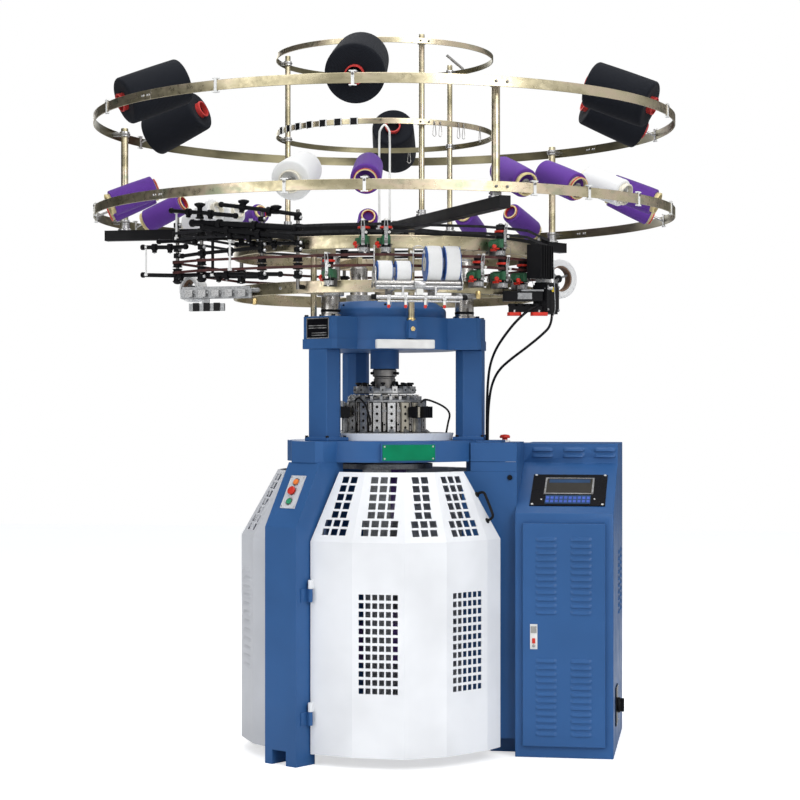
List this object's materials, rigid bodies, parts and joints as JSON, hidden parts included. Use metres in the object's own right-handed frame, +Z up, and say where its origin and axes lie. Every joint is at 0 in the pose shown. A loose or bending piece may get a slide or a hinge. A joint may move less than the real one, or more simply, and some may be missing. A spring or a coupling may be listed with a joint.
{
  "type": "circular knitting machine",
  "caption": "Circular knitting machine with an overhead ring creel of yarn packages, blue frame, white windowed guard door and control cabinet.",
  "frame": {"origin": "on the floor under the axis of the needle cylinder", "axes": "+Z up along the cylinder axis, +X towards the control cabinet, the operator stands on the -Y side"},
  "size_m": [2.3287, 2.3086, 2.768],
  "materials": {
    "blue_paint": "machine-blue hammered enamel on castings and sheet",
    "white_paint": "white powder coat",
    "grey_paint": "light grey powder coat",
    "black_paint": "satin black paint",
    "zinc": "yellow-passivated zinc plating",
    "steel": "ground steel",
    "cast": "machined light alloy",
    "rubber": "black rubber",
    "purple_yarn": "wound purple yarn",
    "black_yarn": "wound black yarn",
    "white_yarn": "wound white yarn",
    "knit": "knitted tube of purple yarn",
    "tube_card": "yellow and red yarn tubes",
    "black_plastic": "black moulded plastic",
    "green_plastic": "green moulded housings",
    "red_plastic": "red plastic",
    "orange_plastic": "orange plastic",
    "light_plastic": "white plastic",
    "board": "electrical board and units"
  },
  "bodies": {
    "frame": {"bed_ring": "blue_paint", "belt_tensioner": "black_paint", "black_packages": "black_yarn", "blank_plates": "steel", "cabinet_shell": "blue_paint", "cam_boxes": "cast", "columns": "blue_paint", "control_board": "board", "creel_posts": "zinc", "creel_rings": "zinc", "creel_spider": "black_paint", "crown": "blue_paint", "dial_housing": "cast", "drive_belts": "rubber", "elastic_unit_frame": "cast", "feeder_housings": "green_plastic", "feeder_rings": "zinc", "gear_cover": "blue_paint", "lamp_bar": "light_plastic", "left_leg": "blue_paint", "lint_tray": "white_paint", "motor_cables": "rubber", "package_holders": "zinc", "package_tubes": "tube_card", "purple_cones": "purple_yarn", "rear_leg": "blue_paint", "rear_right_guard": "grey_paint", "right_leg": "blue_paint", "side_spools": "light_plastic", "side_units": "black_paint", "switch_plates": "black_plastic", "white_cones": "white_yarn"},
    "rotor": {"needle_cylinder": "steel", "dial": "steel", "takedown_frame": "cast", "fabric_tube": "knit"},
    "pull_roller_front": {"pull_roller_front": "steel"},
    "pull_roller_rear": {"pull_roller_rear": "steel"},
    "fabric_roll": {"fabric_roll": "knit"},
    "front_door": {"front_door": "white_paint", "door_handle": "black_paint"},
    "rear_left_door": {"rear_left_door": "grey_paint"},
    "cabinet_door": {"cabinet_door": "blue_paint"},
    "latch_button": {"latch_button": "red_plastic"},
    "jog_button": {"jog_button": "orange_plastic"},
    "stop_button": {"stop_button": "red_plastic"},
    "start_button": {"start_button": "green_plastic"},
    "emergency_button": {"emergency_button": "red_plastic"},
    "main_switch": {"main_switch": "black_paint"},
    "elastic_roller_front": {"elastic_roller_front": "steel"},
    "elastic_roller_rear": {"elastic_roller_rear": "steel"},
    "small_bobbins": {"small_bobbins": "white_yarn"},
    "large_bobbins": {"large_bobbins": "white_yarn"},
    "lower_feeder_wheel_1": {"lower_feeder_wheel_1": "red_plastic"},
    "lower_feeder_wheel_2": {"lower_feeder_wheel_2": "red_plastic"},
    "lower_feeder_wheel_3": {"lower_feeder_wheel_3": "red_plastic"},
    "lower_feeder_wheel_4": {"lower_feeder_wheel_4": "red_plastic"},
    "upper_feeder_wheel_1": {"upper_feeder_wheel_1": "red_plastic"},
    "upper_feeder_wheel_2": {"upper_feeder_wheel_2": "red_plastic"},
    "upper_feeder_wheel_3": {"upper_feeder_wheel_3": "red_plastic"}
  },
  "joints": [
    {"name": "rotor_spin", "type": "hinge", "parent": "frame", "child": "rotor", "pos_m": [0, 0, 1.2], "axis": [0, 0, 1], "continuous": true},
    {"name": "pull_front_spin", "type": "hinge", "parent": "rotor", "child": "pull_roller_front", "pos_m": [-0.0245, 0, 0.8], "axis": [0, 1, 0], "continuous": true},
    {"name": "pull_rear_spin", "type": "hinge", "parent": "rotor", "child": "pull_roller_rear", "pos_m": [0.0245, 0, 0.8], "axis": [0, 1, 0], "continuous": true},
    {"name": "fabric_roll_spin", "type": "hinge", "parent": "rotor", "child": "fabric_roll", "pos_m": [0, 0, 0.42], "axis": [0, 1, 0], "continuous": true},
    {"name": "front_door_hinge", "type": "hinge", "parent": "frame", "child": "front_door", "pos_m": [-0.19669, -0.51763, 0.6], "axis": [0, 0, -1], "range_deg": [0, 90]},
    {"name": "rear_left_door_hinge", "type": "hinge", "parent": "frame", "child": "rear_left_door", "pos_m": [-0.34993, 0.42916, 0.6], "axis": [0, 0, -1], "range_deg": [0, 90]},
    {"name": "cabinet_door_hinge", "type": "hinge", "parent": "frame", "child": "cabinet_door", "pos_m": [0.893, -0.2195, 0.47], "axis": [0, 0, 1], "range_deg": [0, 110]},
    {"name": "latch_press", "type": "slide", "parent": "cabinet_door", "child": "latch_button", "axis": [0, 1, 0], "range_m": [0, 0.003], "stiffness_N_per_m": 400},
    {"name": "jog_press", "type": "slide", "parent": "frame", "child": "jog_button", "axis": [0.4522, 0.7525, -0.4789], "range_m": [0, 0.004], "stiffness_N_per_m": 300},
    {"name": "stop_press", "type": "slide", "parent": "frame", "child": "stop_button", "axis": [0.4522, 0.7525, -0.4789], "range_m": [0, 0.004], "stiffness_N_per_m": 300},
    {"name": "start_press", "type": "slide", "parent": "frame", "child": "start_button", "axis": [0.4522, 0.7525, -0.4789], "range_m": [0, 0.004], "stiffness_N_per_m": 300},
    {"name": "emergency_press", "type": "slide", "parent": "frame", "child": "emergency_button", "axis": [0, 0, -1], "range_m": [0, 0.005], "stiffness_N_per_m": 400},
    {"name": "main_switch_turn", "type": "hinge", "parent": "frame", "child": "main_switch", "pos_m": [0.927, 0, 0.18], "axis": [1, 0, 0], "range_deg": [0, 90]},
    {"name": "upper_feeder_spin_1", "type": "hinge", "parent": "frame", "child": "upper_feeder_wheel_1", "pos_m": [0.03062, -0.64928, 2.014], "axis": [0, 0, 1], "continuous": true},
    {"name": "upper_feeder_spin_2", "type": "hinge", "parent": "frame", "child": "upper_feeder_wheel_2", "pos_m": [0.11175, -0.64032, 2.014], "axis": [0, 0, 1], "continuous": true},
    {"name": "upper_feeder_spin_3", "type": "hinge", "parent": "frame", "child": "upper_feeder_wheel_3", "pos_m": [0.5087, -0.40464, 2.014], "axis": [0, 0, 1], "continuous": true},
    {"name": "lower_feeder_spin_1", "type": "hinge", "parent": "frame", "child": "lower_feeder_wheel_1", "pos_m": [-0.10168, -0.642, 1.887], "axis": [0, 0, 1], "continuous": true},
    {"name": "lower_feeder_spin_2", "type": "hinge", "parent": "frame", "child": "lower_feeder_wheel_2", "pos_m": [0.43494, -0.48304, 1.887], "axis": [0, 0, 1], "continuous": true},
    {"name": "lower_feeder_spin_3", "type": "hinge", "parent": "frame", "child": "lower_feeder_wheel_3", "pos_m": [0.51568, -0.3957, 1.887], "axis": [0, 0, 1], "continuous": true},
    {"name": "lower_feeder_spin_4", "type": "hinge", "parent": "frame", "child": "lower_feeder_wheel_4", "pos_m": [0.58171, -0.29003, 1.887], "axis": [0, 0, 1], "continuous": true},
    {"name": "elastic_roller_front_spin", "type": "hinge", "parent": "frame", "child": "elastic_roller_front", "pos_m": [0.24686, -0.7378, 1.796], "axis": [0.9483, 0.3173, 0], "continuous": true},
    {"name": "elastic_roller_rear_spin", "type": "hinge", "parent": "frame", "child": "elastic_roller_rear", "pos_m": [0.22909, -0.68469, 1.796], "axis": [0.9483, 0.3173, 0], "continuous": true},
    {"name": "small_bobbins_spin", "type": "hinge", "parent": "frame", "child": "small_bobbins", "pos_m": [0.23798, -0.71124, 1.83815], "axis": [0.9483, 0.3173, 0], "continuous": true},
    {"name": "large_bobbins_spin", "type": "hinge", "parent": "frame", "child": "large_bobbins", "pos_m": [0.23798, -0.71124, 1.8673], "axis": [0.9483, 0.3173, 0], "continuous": true}
  ],
  "couplings": [
    {"joint": "pull_front_spin", "follows": "fabric_roll_spin", "ratio": 4.7727},
    {"joint": "pull_rear_spin", "follows": "fabric_roll_spin", "ratio": -4.7727},
    {"joint": "upper_feeder_spin_2", "follows": "upper_feeder_spin_1", "ratio": 1},
    {"joint": "upper_feeder_spin_3", "follows": "upper_feeder_spin_1", "ratio": 1},
    {"joint": "lower_feeder_spin_2", "follows": "lower_feeder_spin_1", "ratio": 1},
    {"joint": "lower_feeder_spin_3", "follows": "lower_feeder_spin_1", "ratio": 1},
    {"joint": "lower_feeder_spin_4", "follows": "lower_feeder_spin_1", "ratio": 1},
    {"joint": "elastic_roller_front_spin", "follows": "large_bobbins_spin", "ratio": -6.6},
    {"joint": "elastic_roller_rear_spin", "follows": "large_bobbins_spin", "ratio": -6.6},
    {"joint": "small_bobbins_spin", "follows": "large_bobbins_spin", "ratio": 1.65}
  ]
}
